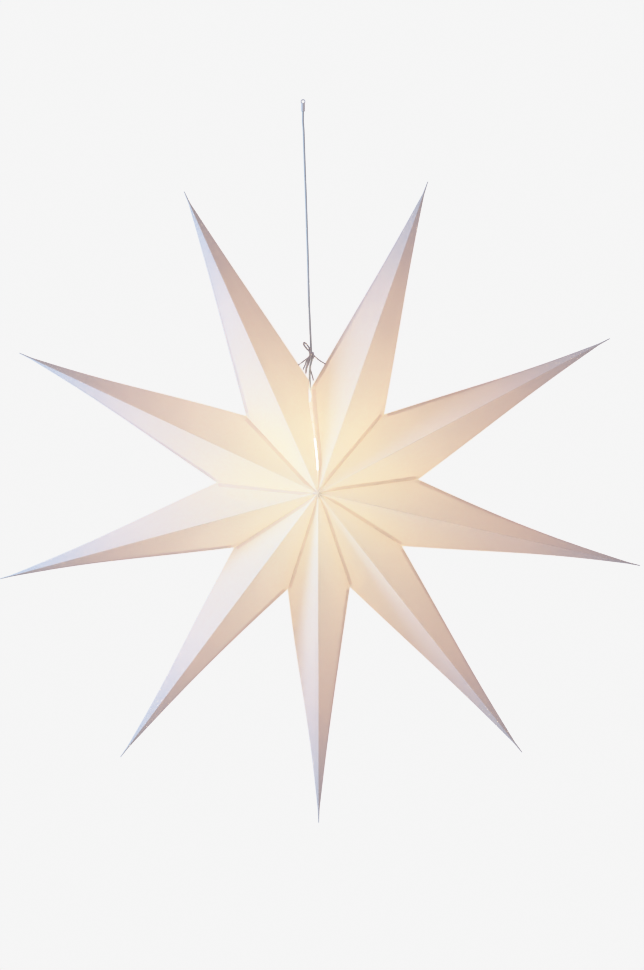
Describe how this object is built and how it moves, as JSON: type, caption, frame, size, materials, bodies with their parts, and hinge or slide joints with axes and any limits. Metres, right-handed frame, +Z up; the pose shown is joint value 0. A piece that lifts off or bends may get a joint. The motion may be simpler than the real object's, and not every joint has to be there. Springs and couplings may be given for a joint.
{
  "type": "paper advent star",
  "caption": "Pointed star of folded translucent paper, lit from inside by a small bulb on a cord, hung by an eye on the cord's end.",
  "frame": {"origin": "centre of the hanging eye's hole, on the cord's upper end above the star", "axes": "+Z up, the star's front faces -Y and its flat plane is XZ, +X to the right seen from the front"},
  "size_m": [0.9721, 0.2188, 1.0966],
  "materials": {
    "paper": "matt, lets a warm light through",
    "cord": "soft matt sheath",
    "string": "twisted thread",
    "plastic": "moulded, slightly satin",
    "insert": "moulded thermoset, matt",
    "brass": "drawn sheet",
    "bulb": "frosted, lit"
  },
  "bodies": {
    "root": {"point_1": "paper", "point_2": "paper", "point_3": "paper", "point_4": "paper", "point_5": "paper", "point_6": "paper", "point_7": "paper", "point_8": "paper", "point_9": "paper", "hanging_eye": "plastic", "power_cord": "cord", "tie_string": "string", "cord_grip": "plastic", "holder_cap": "plastic", "holder_skirt": "plastic", "holder_insert": "insert", "screw_shell": "brass", "centre_contact": "brass", "bulb": "bulb"}
  },
  "joints": []
}
